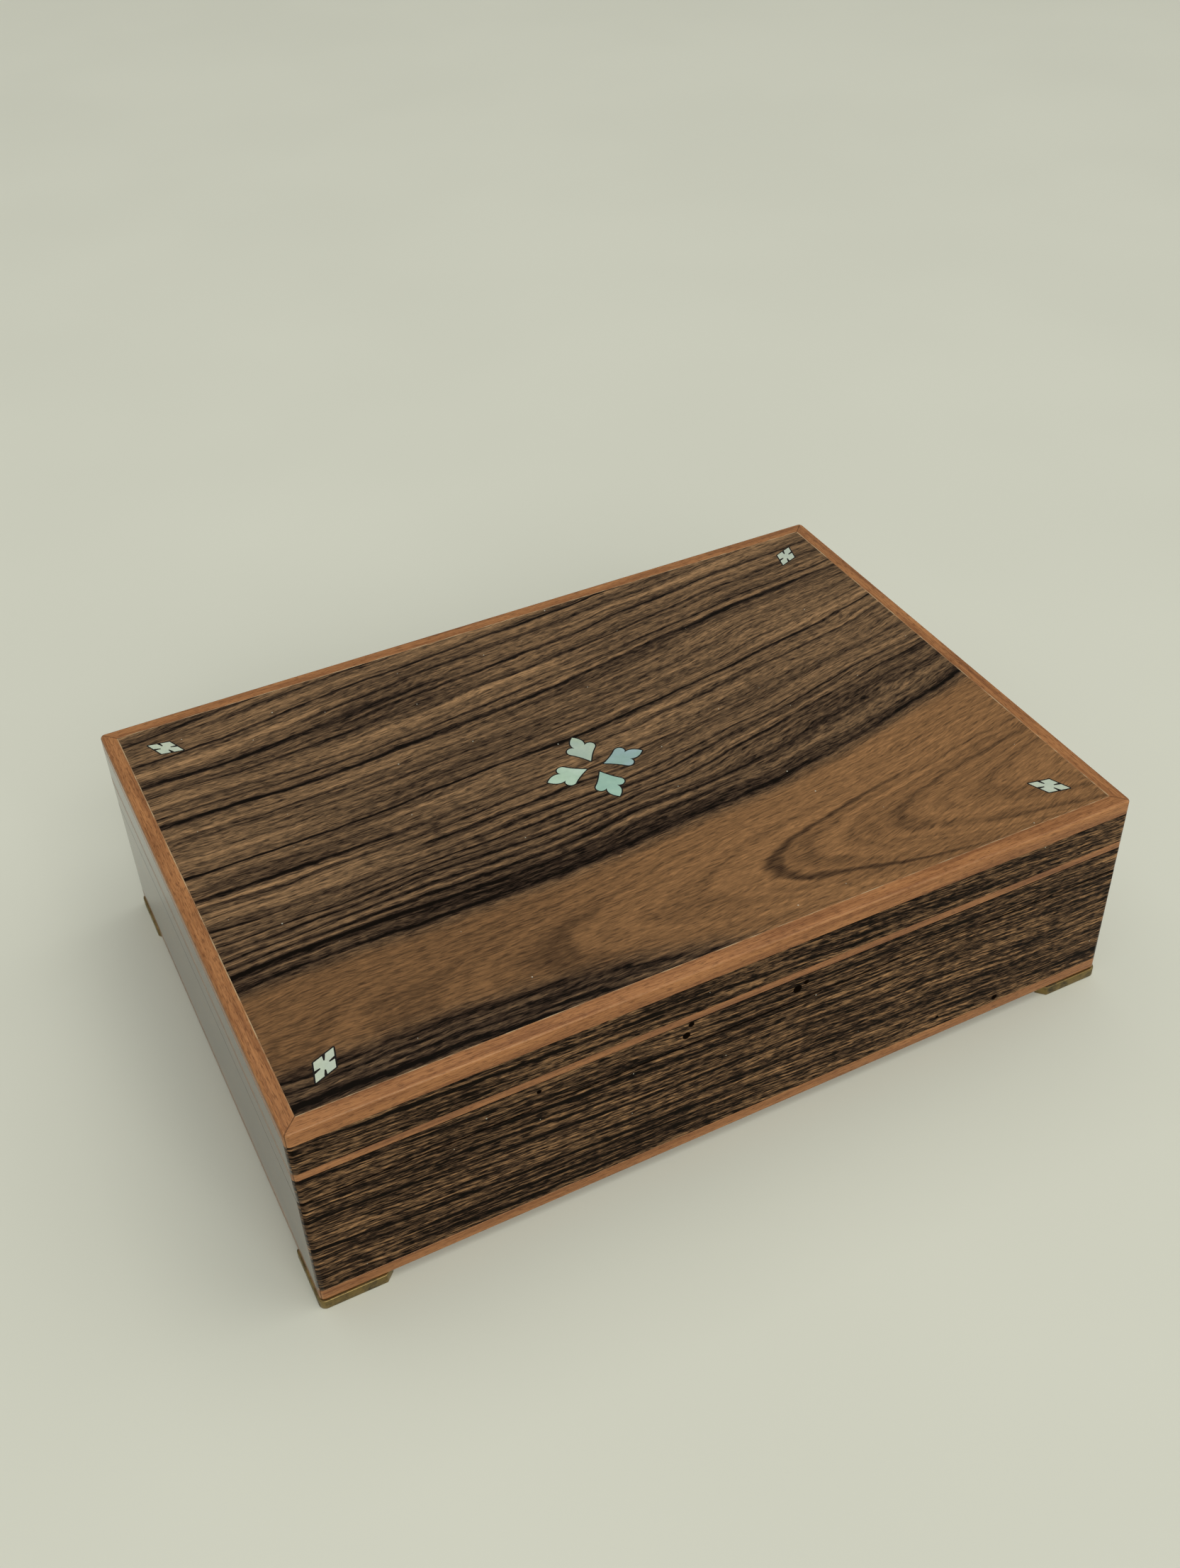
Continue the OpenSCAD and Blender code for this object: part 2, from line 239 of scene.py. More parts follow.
top_low, top_high = (level.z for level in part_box("top_front_edging"))
bottom_low, bottom_high = (level.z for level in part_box("bottom_front_edging"))
top_edging = four_strips(
    "edging_top_{}",
    lambda name, half, out: edging_strip(name, half, out, top_low, top_high, top_high),
)
bottom_edging = four_strips(
    "edging_bottom_{}",
    lambda name, half, out: edging_strip(name, half, out, bottom_low, bottom_high, bottom_low),
)

# %% [markdown]
# ## Feet
# Each foot is a small brass plate under a corner. Its outer corner follows the
# rounded corner of the box, its other corners are cut off, and a countersunk screw
# holds it from below. A plate is beveled edge by edge: many segments for the round
# corner, one for the cuts. The screw hole is a boolean cut with a cone, because an
# inset can only follow the outline that is already there.

# %% Feet
FOOT_CUT = 2.3 * MM
FOOT_ROUND = 1.9 * MM
FOOT_EASE = 0.22 * MM
SINK_R = 2.3 * MM
SINK_DEPTH = 1.4 * MM
SCREW_HOLE_R = 0.9 * MM
OVERCUT = 0.1 * MM
HOLE_SIDES = 40


def foot_plate(name):
    """The front left foot, between the corners of its CAD node."""
    low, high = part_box("front_left_foot")
    plate = block(name, low, high)
    bpy.ops.object.mode_set(mode="EDIT")
    pick("EDGE", lambda m, d: abs(d.z) > 0.9 and m.x < low.x + NEAR and m.y < low.y + NEAR)
    bpy.ops.mesh.bevel(offset=FOOT_ROUND, segments=10, affect="EDGES")
    pick("EDGE", lambda m, d: abs(d.z) > 0.9 and (m.x > high.x - NEAR or m.y > high.y - NEAR))
    bpy.ops.mesh.bevel(offset=FOOT_CUT, segments=1, affect="EDGES")
    middle = (low + high) / 2
    let_go()
    bpy.ops.mesh.primitive_cone_add(
        vertices=HOLE_SIDES,
        radius1=SINK_R + (SINK_R - SCREW_HOLE_R) * OVERCUT / SINK_DEPTH,
        radius2=SCREW_HOLE_R,
        depth=SINK_DEPTH + OVERCUT,
        location=(middle.x, middle.y, low.z + SINK_DEPTH / 2),
    )
    cone = keep_place("sink")
    bpy.ops.mesh.primitive_cylinder_add(
        vertices=HOLE_SIDES,
        radius=SCREW_HOLE_R,
        depth=20 * MM,
        location=(middle.x, middle.y, 9 * MM),
    )
    shank = keep_place("shank")
    for cutter in (cone, shank):
        take(plate)
        cut = plate.modifiers.new("screw hole", "BOOLEAN")
        cut.operation = "DIFFERENCE"
        cut.object = cutter
        bpy.ops.object.modifier_apply(modifier=cut.name)
        bpy.data.objects.remove(cutter)
    ease(plate, FOOT_EASE, 3, 35)
    print(name, "faces:", len(plate.data.polygons))
    return plate


CORNERS = ("front_left", "front_right", "back_right", "back_left")


def mirrored_copy(piece, name, across_x, across_y):
    """A copy with its own mesh, mirrored through the middle of the box."""
    take(piece)
    bpy.ops.object.duplicate(linked=False)
    bpy.context.object.scale = (-1 if across_x else 1, -1 if across_y else 1, 1)
    copy = keep_place(name)
    if across_x != across_y:
        bpy.ops.object.mode_set(mode="EDIT")
        bpy.ops.mesh.select_all(action="SELECT")
        bpy.ops.mesh.normals_make_consistent(inside=False)
        let_go()
    return copy


feet = {"front_left": foot_plate("foot_front_left")}
for corner in CORNERS[1:]:
    feet[corner] = mirrored_copy(
        feet["front_left"], "foot_" + corner, "right" in corner, "back" in corner
    )

# %% [markdown]
# ## Velvet lining
# Inside, cards wrapped in velvet stand against the four walls, and a padded card
# lies on the floor and another fills the lid. The wall cards are thin and only
# their upper edges look soft, so they are strips with rounded edges, mitred like
# the edging. The pads carry a layer of wadding: a closed shell is blown up a little
# by Cloth pressure while its underside is pinned, which pulls the sides in between
# the corners just as stretched velvet does.

# %% Lining cards
CARD_T = 1.5 * MM
CARD_SOFT = 0.6 * MM


def lining_card(name, half, out, low, high):
    """A velvet-wrapped card along X with its outer face on y = -out."""
    card = block(name, (-half, -out, low), (half, CARD_T - out, high))
    bpy.ops.object.mode_set(mode="EDIT")
    pick("EDGE", lambda m, d: abs(d.x) > 0.9 and m.z > high - NEAR)
    bpy.ops.mesh.bevel(offset=CARD_SOFT, segments=4, affect="EDGES")
    saw_mitres(half, out)
    ease(card, 0.15 * MM, 2, 40)
    return card


card_low, card_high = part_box("base_front_lining")
WALL = card_low.y + HALF_D
cards = four_strips(
    "lining_card_{}",
    lambda name, half, out: lining_card(
        name, half - WALL, out - WALL, card_low.z, card_high.z
    ),
)

# %% Padded floor and ceiling
PAD_CELL = 3 * MM
PAD_FRAMES = 14
PAD_SLACK = 0.4 * MM
PAD_SKIN = 0.6
PAD_ROUND = 1.5 * MM
PAD_SWELL = 1.2 * MM
PAD_PRESSURE = 1.5


def velvet_pad(name, node, up):
    """A wadded card that swells on one side, inside the room of its CAD node."""
    low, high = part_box(node)
    room = high - low
    base_z = low.z if up else high.z
    let_go()
    bpy.ops.mesh.primitive_grid_add(
        x_subdivisions=round(room.x / PAD_CELL),
        y_subdivisions=round(room.y / PAD_CELL),
        size=1,
        location=((low.x + high.x) / 2, (low.y + high.y) / 2, base_z),
    )
    bpy.context.object.scale = (room.x - PAD_SLACK, room.y - PAD_SLACK, 1)
    pad = keep_place(name)
    thick = pad.modifiers.new("wadding", "SOLIDIFY")
    thick.thickness = room.z * PAD_SKIN
    thick.offset = 1 if up else -1
    bpy.ops.object.modifier_apply(modifier=thick.name)
    soft = pad.modifiers.new("soft corners", "BEVEL")
    soft.width = PAD_ROUND
    soft.segments = 4
    soft.limit_method = "ANGLE"
    soft.angle_limit = math.radians(60)
    bpy.ops.object.modifier_apply(modifier=soft.name)
    start = [v.co.copy() for v in pad.data.vertices]
    pinned = pad.vertex_groups.new(name="glued")
    pinned.add([v.index for v in pad.data.vertices if abs(v.co.z - base_z) < NEAR], 1, "ADD")
    cloth = pad.modifiers.new("swelling", "CLOTH")
    cloth.settings.vertex_group_mass = pinned.name
    cloth.settings.use_pressure = True
    cloth.settings.uniform_pressure_force = PAD_PRESSURE
    cloth.settings.effector_weights.gravity = 0
    cloth.settings.quality = 6
    for step in range(1, PAD_FRAMES + 1):
        bpy.context.scene.frame_set(step)
    take(pad)
    bpy.ops.object.modifier_apply(modifier=cloth.name)
    bpy.context.scene.frame_set(1)
    for vertex, first in zip(pad.data.vertices, start):
        moved = vertex.co - first
        if moved.length > PAD_SWELL:
            vertex.co = first + moved.normalized() * PAD_SWELL
        vertex.co.x = min(max(vertex.co.x, low.x), high.x)
        vertex.co.y = min(max(vertex.co.y, low.y), high.y)
        vertex.co.z = min(max(vertex.co.z, low.z), high.z)
    take(pad)
    bpy.ops.object.shade_smooth()
    rise = max(abs(v.co.z - base_z) for v in pad.data.vertices)
    print(name, "stands", round(rise / MM, 2), "mm off its card")
    return pad


floor_pad = velvet_pad("velvet_floor_pad", "base_floor_pad", True)
lid_pad = velvet_pad("velvet_lid_pad", "lid_ceiling_pad", False)

# %% [markdown]
# ## Node helpers
# Every finish below is a tree of nodes. Building trees in code gets long, so these
# helpers add one node at a time, set its values, and link sockets that are passed
# in as values. Small groups hold the effects that several finishes share.

# %% Helpers for nodes


def node(tree, kind, inputs=None, **settings):
    """Adds a shader node. An input given as a socket is linked, others are set."""
    made = tree.nodes.new("ShaderNode" + kind)
    for name, value in settings.items():
        setattr(made, name, value)
    for name, value in (inputs or {}).items():
        if isinstance(value, bpy.types.NodeSocket):
            tree.links.new(value, made.inputs[name])
        else:
            made.inputs[name].default_value = value
    return made


def calc(tree, operation, a, b=0.0, c=0.0, clamp=False):
    """A Math node; returns its output."""
    inputs = {0: a, 1: b, 2: c}
    return node(tree, "Math", inputs, operation=operation, use_clamp=clamp).outputs[0]


def times(tree, first, *others):
    """The product of several numbers; returns its output."""
    for other in others:
        first = calc(tree, "MULTIPLY", first, other)
    return first


def minus(tree, a, b):
    """The difference of two numbers; returns its output."""
    return calc(tree, "SUBTRACT", a, b)


def fade(tree, value, low, high, to_low=0.0, to_high=1.0):
    """A smooth step from one value to another; returns its output."""
    inputs = {"Value": value, "From Min": low, "From Max": high}
    inputs.update({"To Min": to_low, "To Max": to_high})
    step = node(tree, "MapRange", inputs, interpolation_type="SMOOTHSTEP")
    return step.outputs["Result"]


def blend(tree, factor, a, b, kind="MIX"):
    """Mixes two colours; returns the output."""
    mixed = node(tree, "Mix", {0: factor, 6: a, 7: b}, data_type="RGBA", blend_type=kind)
    return mixed.outputs[2]


def noise(tree, vector, detail=2.0, rough=0.5, size=1.0):
    """Cloudy noise; returns its grey output, which lies around a half."""
    inputs = {"Vector": vector, "Scale": 1 / size, "Detail": detail, "Roughness": rough}
    return node(tree, "TexNoise", inputs).outputs["Fac"]


def drawn_out(tree, along, across, length, width, seed=0.0, detail=2.0):
    """Noise drawn out along the grain; returns an output from -1 to 1."""
    run = calc(tree, "DIVIDE", along, length)
    row = calc(tree, "DIVIDE", across, width)
    cloud = noise(tree, join(tree, run, row, seed), detail, 0.55)
    return fade(tree, cloud, 0.34, 0.66, -1.0, 1.0)


def stretch(tree, vector, size):
    """Divides a vector by a size along each axis."""
    inputs = {"Vector": vector, "Scale": [1 / s for s in size]}
    return node(tree, "Mapping", inputs).outputs["Vector"]


def join(tree, x, y, z=0.0):
    """Three numbers as one vector."""
    return node(tree, "CombineXYZ", {"X": x, "Y": y, "Z": z}).outputs["Vector"]


def split(tree, vector):
    """The three numbers of a vector."""
    return node(tree, "SeparateXYZ", {"Vector": vector}).outputs


def paint(red, green, blue):
    """A colour from its 0 to 255 values, as light."""
    parts = [value / 255 for value in (red, green, blue)]
    light = [p / 12.92 if p <= 0.04045 else ((p + 0.055) / 1.055) ** 2.4 for p in parts]
    return (*light, 1.0)


SOCKETS = {"number": "NodeSocketFloat", "vector": "NodeSocketVector"}


def new_group(name, takes, gives):
    """An empty group with named sockets; returns it, its inputs and its outputs."""
    group = bpy.data.node_groups.new(name, "ShaderNodeTree")
    for label, kind, value in takes:
        socket = group.interface.new_socket(label, in_out="INPUT", socket_type=SOCKETS[kind])
        if value is not None:
            socket.default_value = value
    for label in gives:
        group.interface.new_socket(label, in_out="OUTPUT", socket_type=SOCKETS["number"])
    entry = group.nodes.new("NodeGroupInput").outputs
    leave = group.nodes.new("NodeGroupOutput").inputs
    return group, entry, leave


def group_node(tree, group, **inputs):
    """Places a group with its inputs by name; returns its outputs."""
    named = {label.replace("_", " "): value for label, value in inputs.items()}
    return node(tree, "Group", named, node_tree=group).outputs


def new_material(name, **constants):
    """A material, its tree, its shader, and Object coordinates in millimetres."""
    material = bpy.data.materials.new(name)
    material.use_nodes = True
    tree = material.node_tree
    shader = tree.nodes["Principled BSDF"]
    for label, value in constants.items():
        shader.inputs[label.replace("_", " ")].default_value = value
    place = node(tree, "TexCoord").outputs["Object"]
    return material, tree, shader, stretch(tree, place, (MM, MM, MM))


def feed(tree, shader, **outputs):
    """Links outputs to the shader's inputs of the same names."""
    for label, output in outputs.items():
        tree.links.new(output, shader.inputs[label.replace("_", " ")])


def bump(tree, shader, height, depth_mm, strength=1.0):
    """Turns a height into relief of that depth on a shader."""
    inputs = {"Height": height, "Distance": depth_mm * MM, "Strength": strength}
    relief = node(tree, "Bump", inputs)
    feed(tree, shader, Normal=relief.outputs["Normal"])


# %% [markdown]
# ## Shared effects
# Four effects come back in several finishes. A *streak* is one dark growth line of
# the veneer, with a place across the grain and a stretch along it where it shows.
# *Fibres* are the short flecks and open pores of cut wood. *Rounded edges* finds the
# rounded edges: brass wears bright there, and the edging gets rubbed wear and a painted
# highlight there. *Specks* scatters a few grains of dust.

# %% Streak group
streak_group, take_in, give_out = new_group(
    "streak",
    [
        ("Across", "number", 0.0),
        ("Along", "number", 0.0),
        ("Place", "number", 0.0),
        ("Half Width", "number", 1.0),
        ("Depth", "number", 1.0),
        ("From", "number", 0.0),
        ("To", "number", 240.0),
    ],
    ["Darkness"],
)
TAPER = 14.0
away = minus(streak_group, take_in["Across"], take_in["Place"])
away = calc(streak_group, "ABSOLUTE", away)
core = fade(streak_group, away, 0.0, take_in["Half Width"], 1.0, 0.0)
past_start = minus(streak_group, take_in["Along"], take_in["From"])
begun = fade(streak_group, past_start, -TAPER, TAPER)
past_end = minus(streak_group, take_in["Along"], take_in["To"])
ended = fade(streak_group, past_end, -TAPER, TAPER, 1.0, 0.0)
dark = times(streak_group, core, begun, ended, take_in["Depth"])
streak_group.links.new(dark, give_out["Darkness"])


def darkest(tree, across, along, streaks):
    """The darkest of several streaks at each point."""
    total = None
    labels = ("Place", "Half_Width", "Depth", "From", "To")
    for streak in streaks:
        sizes = dict(zip(labels, streak))
        one = group_node(tree, streak_group, Across=across, Along=along, **sizes)["Darkness"]
        total = one if total is None else calc(tree, "MAXIMUM", total, one)
    return total


# %% Fibre group
fibre_group, take_in, give_out = new_group(
    "fibres",
    [
        ("Along", "number", 0.0),
        ("Across", "number", 0.0),
        ("Length", "number", 3.0),
        ("Width", "number", 0.3),
    ],
    ["Fibres", "Pores", "Height"],
)
run = calc(fibre_group, "DIVIDE", take_in["Along"], take_in["Length"])
row = calc(fibre_group, "DIVIDE", take_in["Across"], take_in["Width"])
flecks = noise(fibre_group, join(fibre_group, run, row), 2.0, 0.6)
flecks = fade(fibre_group, flecks, 0.32, 0.68, -1.0, 1.0)
open_run = times(fibre_group, run, 0.7)
open_row = times(fibre_group, row, 0.8)
holes = noise(fibre_group, join(fibre_group, open_run, open_row, 7.0), 1.0, 0.5)
holes = fade(fibre_group, holes, 0.54, 0.64)
level = calc(fibre_group, "MULTIPLY_ADD", flecks, 0.25, times(fibre_group, holes, -1.0))
fibre_group.links.new(flecks, give_out["Fibres"])
fibre_group.links.new(holes, give_out["Pores"])
fibre_group.links.new(level, give_out["Height"])

# %% Rounded edge group
rounded_edge_group, take_in, give_out = new_group(
    "rounded_edges",
    [("Normal", "vector", None), ("Place", "vector", None), ("Amount", "number", 0.5)],
    ["Rub"],
)
facing = node(rounded_edge_group, "VectorMath", {0: take_in["Normal"]}, operation="ABSOLUTE").outputs[0]
nx, ny, nz = split(rounded_edge_group, facing)[:3]
flat = calc(rounded_edge_group, "MAXIMUM", calc(rounded_edge_group, "MAXIMUM", nx, ny), nz)
curved = fade(rounded_edge_group, flat, 0.80, 0.98, 1.0, 0.0)
patches = noise(rounded_edge_group, take_in["Place"], 4.0, 0.65, 3.0)
patches = fade(rounded_edge_group, patches, 0.35, 0.65, 0.3, 1.0)
edge_amount = times(rounded_edge_group, curved, patches, take_in["Amount"])
rounded_edge_group.links.new(edge_amount, give_out["Rub"])

# %% Speck group
speck_group, take_in, give_out = new_group(
    "specks",
    [("Place", "vector", None), ("Spacing", "number", 20.0), ("Size", "number", 0.2)],
    ["Specks"],
)
cells = node(
    speck_group,
    "TexVoronoi",
    {
        "Vector": take_in["Place"],
        "Scale": calc(speck_group, "DIVIDE", 1.0, take_in["Spacing"]),
        "Randomness": 1.0,
    },
    voronoi_dimensions="2D",
)
distance = times(speck_group, cells.outputs["Distance"], take_in["Spacing"])
chance = node(speck_group, "SeparateColor", {"Color": cells.outputs["Color"]}).outputs
radius = times(speck_group, take_in["Size"], chance["Red"])
inside = calc(speck_group, "LESS_THAN", distance, radius)
speck_group.links.new(inside, give_out["Specks"])
print("shared groups:", [g.name for g in bpy.data.node_groups])

# %% [markdown]
# ## Figured veneer
# The veneer is a dark, streaky rosewood-like sheet. Its growth lines are the level
# lines of one field: a number that grows across the sheet and bends wherever the
# tree was bent. On the lid the lines lie level at the left and sweep back at the
# right. Painting streaks by hand would fix them to one size, and plain noise has no
# direction, so the field is built from the place on the sheet, and then every
# streak, fibre and pore is drawn in field coordinates and follows the same sweep.

# %% Colours of the veneer
HALF_L_MM = HALF_L / MM
HALF_D_MM = HALF_D / MM
TOP_MM = cad_high.z / MM
VENEER_TONES = (
    (0.0, paint(164, 129, 92)),
    (0.25, paint(126, 99, 71)),
    (0.5, paint(87, 69, 51)),
    (0.75, paint(50, 38, 29)),
    (1.0, paint(13, 8, 4)),
)
WARM = (1.12, 0.97, 0.82, 1.0)
LACQUER = {"Specular_IOR_Level": 0.0, "Coat_Weight": 1.0, "Coat_IOR": 1.16, "Coat_Roughness": 0.14}
SIDE_LACQUER = {**LACQUER, "Coat_IOR": 1.1}
END_LACQUER = {**LACQUER, "Coat_IOR": 1.34, "Coat_Roughness": 0.10}


def veneer_colour(tree, darkness):
    """The veneer's colour, from pale fibre at 0 to black streak at 1."""
    ramp = node(tree, "ValToRGB", {"Fac": darkness})
    stops = ramp.color_ramp.elements
    stops[0].color, stops[1].color = VENEER_TONES[0][1], VENEER_TONES[-1][1]
    for position, tone in VENEER_TONES[1:-1]:
        stops.new(position).color = tone
    return ramp.outputs["Color"]


def finish_veneer(tree, shader, darkness, along, across, warmth=0.0, vivid=1.0):
    """Adds fibres, pores, dust and lacquer to a darkness and drives the shader."""
    fine = group_node(tree, fibre_group, Along=along, Across=across, Length=3.0, Width=0.42)
    coarse = group_node(tree, fibre_group, Along=along, Across=across, Length=8.0, Width=0.9)
    flecks = times(tree, fine["Fibres"], 0.14)
    flecks = calc(tree, "MULTIPLY_ADD", coarse["Fibres"], 0.08, flecks)
    flecks = calc(tree, "MULTIPLY_ADD", fine["Pores"], 0.22, flecks)
    darkness = calc(tree, "MULTIPLY_ADD", flecks, vivid, darkness, clamp=True)
    colour = veneer_colour(tree, darkness)
    colour = blend(tree, warmth, colour, WARM, "MULTIPLY")
    sheet = join(tree, along, across)
    dust = group_node(tree, speck_group, Place=sheet, Spacing=24.0, Size=0.22)
    colour = blend(tree, times(tree, dust["Specks"], 0.6), colour, paint(205, 205, 190))
    feed(tree, shader, Base_Color=colour)
    smear = fade(tree, noise(tree, sheet, 3.0, 0.55, 38.0), 0.3, 0.7, 0.36, 0.47)
    matt = calc(tree, "MULTIPLY_ADD", fine["Pores"], 0.12, smear)
    feed(tree, shader, Roughness=matt)
    bump(tree, shader, fine["Height"], 0.03, 0.6)


# %% Streaks of the lid
# Places across the grain are millimetres from the back edge, measured at the left
TOP_STREAKS = (
    (8.5, 0.9, 0.45, -20, 60),
    (12.5, 0.6, 0.30, 40, 260),
    (20.5, 0.8, 0.50, -20, 260),
    (26.5, 0.6, 0.25, 60, 260),
    (31.0, 1.4, 0.50, -20, 100),
    (33.5, 0.9, 0.50, 60, 260),
    (36.5, 0.7, 0.35, -20, 70),
    (40.0, 0.8, 0.28, 60, 260),
    (47.0, 0.6, 0.35, -20, 260),
    (50.5, 1.2, 0.58, -20, 260),
    (57.0, 0.6, 0.25, 30, 170),
    (62.0, 0.6, 0.22, 60, 140),
    (67.0, 0.6, 0.22, 50, 260),
    (72.5, 0.7, 0.66, -20, 260),
    (78.0, 0.6, 0.25, 120, 260),
    (82.5, 1.2, 0.55, -20, 60),
    (86.5, 0.6, 0.35, 20, 150),
    (90.5, 0.8, 0.45, 60, 130),
    (95.5, 0.7, 0.42, -20, 200),
    (98.5, 0.6, 0.35, 60, 260),
    (101.0, 0.5, 0.40, -20, 120),
    (103.5, 0.7, 0.45, -20, 260),
    (106.5, 0.8, 0.42, -20, 130),
    (109.5, 0.9, 0.42, -20, 160),
    (113.0, 1.3, 0.48, -20, 150),
    (115.6, 3.6, 0.18, -20, 120),
    (118.2, 1.3, 0.54, -20, 84),
    (118.0, 1.8, 0.30, 60, 160),
    (118.3, 1.6, 0.46, 145, 245),
)
TOP_PALE = (
    (4.0, 1.6, 0.16, -20, 120),
    (16.5, 2.2, 0.14, -20, 200),
    (24.5, 1.7, 0.20, -20, 60),
    (29.0, 1.5, 0.14, 90, 260),
    (41.5, 1.8, 0.26, -20, 135),
    (44.6, 1.1, 0.20, -20, 80),
    (55.5, 1.6, 0.18, 5, 60),
    (64.0, 2.0, 0.14, 10, 100),
    (70.0, 1.4, 0.16, 110, 260),
    (76.0, 1.5, 0.14, 60, 160),
    (84.8, 0.9, 0.24, -20, 45),
    (88.5, 0.9, 0.16, -20, 60),
    (93.0, 1.7, 0.24, 25, 125),
    (101.8, 0.7, 0.20, 100, 200),
    (105.0, 0.8, 0.20, -20, 120),
    (108.0, 0.7, 0.20, -20, 100),
    (111.2, 0.8, 0.20, -20, 140),
    (115.2, 0.8, 0.20, -20, 60),
    (112.2, 1.5, 0.20, 170, 235),
)
CALM_RINGS = (
    (78, 11.0, 0.14, 66, 90),
    (122, 6.0, 0.10, 100, 170),
    (143, 5.0, 0.34, 132, 190),
    (151, 8.0, 0.12, 132, 250),
    (166, 4.0, 0.07, 140, 260),
    (184, 7.0, 0.16, 150, 260),
    (201, 4.0, 0.06, 160, 260),
    (214, 6.0, 0.12, 150, 260),
)
FRONT_BAND_STREAKS = (
    (150.6, 2.2, 0.36, -20, 110),
    (154.0, 1.0, 0.26, 10, 130),
    (156.5, 1.2, 0.34, 20, 130),
    (159.5, 1.5, 0.48, -20, 120),
)
SWEEP = 23.5
STEP = 4.0

# %% Veneer of the lid


def top_veneer():
    """The veneer of the lid, with its streaks, calm front and dark front band."""
    material, tree, shader, mm = new_material("veneer_top", **LACQUER)
    sheet = node(
        tree, "Mapping", {"Vector": mm, "Scale": (1, -1, 1), "Location": (HALF_L_MM, HALF_D_MM, 0)}
    ).outputs["Vector"]
    x, y = split(tree, sheet)[:2]
    # the field: level lines sweep back towards the right, later the nearer they lie
    reach = calc(tree, "DIVIDE", calc(tree, "SUBTRACT", x, 5.0), 230.0, clamp=True)
    nearer = calc(tree, "DIVIDE", calc(tree, "SUBTRACT", y, 15.0), 85.0, clamp=True)
    power = calc(tree, "MULTIPLY_ADD", nearer, 2.3, 1.0)
    sweep = times(tree, calc(tree, "POWER", reach, power), SWEEP)
    wave = noise(tree, stretch(tree, sheet, (75, 30, 1)), 2.0, 0.5)
    ripple = noise(tree, stretch(tree, sheet, (14, 5, 1)), 2.0, 0.5)
    flow = calc(tree, "ADD", y, sweep)
    # a step in the level lines right of the middle, which leaves a pale lens below it
    begin = calc(tree, "MULTIPLY_ADD", minus(tree, flow, 102.0), 1.2, 136.0)
    step = fade(tree, minus(tree, x, begin), 0.0, 46.0)
    step = times(tree, step, fade(tree, x, 195.0, 245.0, 1.0, 0.5))
    step = times(tree, step, fade(tree, flow, 84.0, 100.0))
    step = times(tree, step, fade(tree, flow, 103.0, 117.0, 1.0, 0.0))
    field = calc(tree, "MULTIPLY_ADD", step, STEP, flow)
    field = calc(tree, "MULTIPLY_ADD", wave, 7.0, minus(tree, field, 3.5))
    field = calc(tree, "MULTIPLY_ADD", ripple, 1.6, minus(tree, field, 0.8))
    # streaks dark and pale, with soft bands and fine lines of the same field between
    lines = darkest(tree, field, x, TOP_STREAKS)
    pale = darkest(tree, field, x, TOP_PALE)
    bands = drawn_out(tree, x, field, 150.0, 4.6)
    threads = drawn_out(tree, x, field, 55.0, 1.5, 3.0, 3.0)
    body = calc(tree, "MULTIPLY_ADD", bands, 0.11, 0.43)
    body = calc(tree, "MULTIPLY_ADD", threads, 0.13, body)
    body = calc(tree, "ADD", body, fade(tree, field, 96.0, 116.0, 0.0, 0.17))
    strength = drawn_out(tree, x, field, 22.0, 2.0, 6.0, 1.0)
    strength = calc(tree, "MULTIPLY_ADD", strength, 0.3, 0.95)
    body = calc(tree, "MULTIPLY_ADD", lines, strength, body)
    body = minus(tree, body, pale)
    # the calm front region: arches open to the right
    bow = minus(tree, y, 143.5)
    arch = calc(tree, "MULTIPLY_ADD", times(tree, bow, bow), -0.17, x)
    arch = calc(tree, "MULTIPLY_ADD", wave, 26.0, arch)
    arch = calc(tree, "MULTIPLY_ADD", ripple, 12.0, minus(tree, arch, 18.5))
    rings = darkest(tree, arch, x, CALM_RINGS)
    veins = drawn_out(tree, arch, field, 8.0, 26.0)
    calm = calc(tree, "MULTIPLY_ADD", veins, 0.06, fade(tree, x, 60.0, 150.0, 0.40, 0.28))
    calm = calc(tree, "ADD", calm, rings)
    calm = calc(tree, "MULTIPLY_ADD", threads, 0.04, calm)
    near_side = fade(tree, field, 118.0, 124.5)
    body = node(tree, "Mix", {0: near_side, 2: body, 3: calm}).outputs[0]
    # the dark band along the front edge, which thins out towards the middle
    run = calc(tree, "DIVIDE", x, 135.0)
    cube = times(tree, run, run, run)
    edge = calc(tree, "MULTIPLY_ADD", cube, -17.0, y)
    edge = calc(tree, "MULTIPLY_ADD", ripple, 3.2, minus(tree, edge, 1.6))
    band = fade(tree, edge, 144.0, 153.5)
    near_lines = darkest(tree, edge, x, FRONT_BAND_STREAKS)
    shade = calc(tree, "MULTIPLY_ADD", threads, 0.18, 0.60)
    shade = calc(tree, "MULTIPLY_ADD", near_lines, strength, shade)
    body = node(tree, "Mix", {0: band, 2: body, 3: shade}).outputs[0]
    warmth = times(tree, near_side, minus(tree, 1.0, band))
    vivid = calc(tree, "MULTIPLY_ADD", warmth, -0.45, 1.0)
    finish_veneer(tree, shader, body, x, field, warmth, vivid)
    return material


veneer_top = top_veneer()
print("top veneer nodes:", len(veneer_top.node_tree.nodes))

# %% [markdown]
# ## Veneer of the sides
# Each side is cut from a straighter part of the same log: close dark lines that sink
# a few degrees towards the right. Lid and base were one box until the lid was sawn
# off, so the lines run on across the joint, which comes by itself when both read the
# same field. The front also shows a few small dark pits.

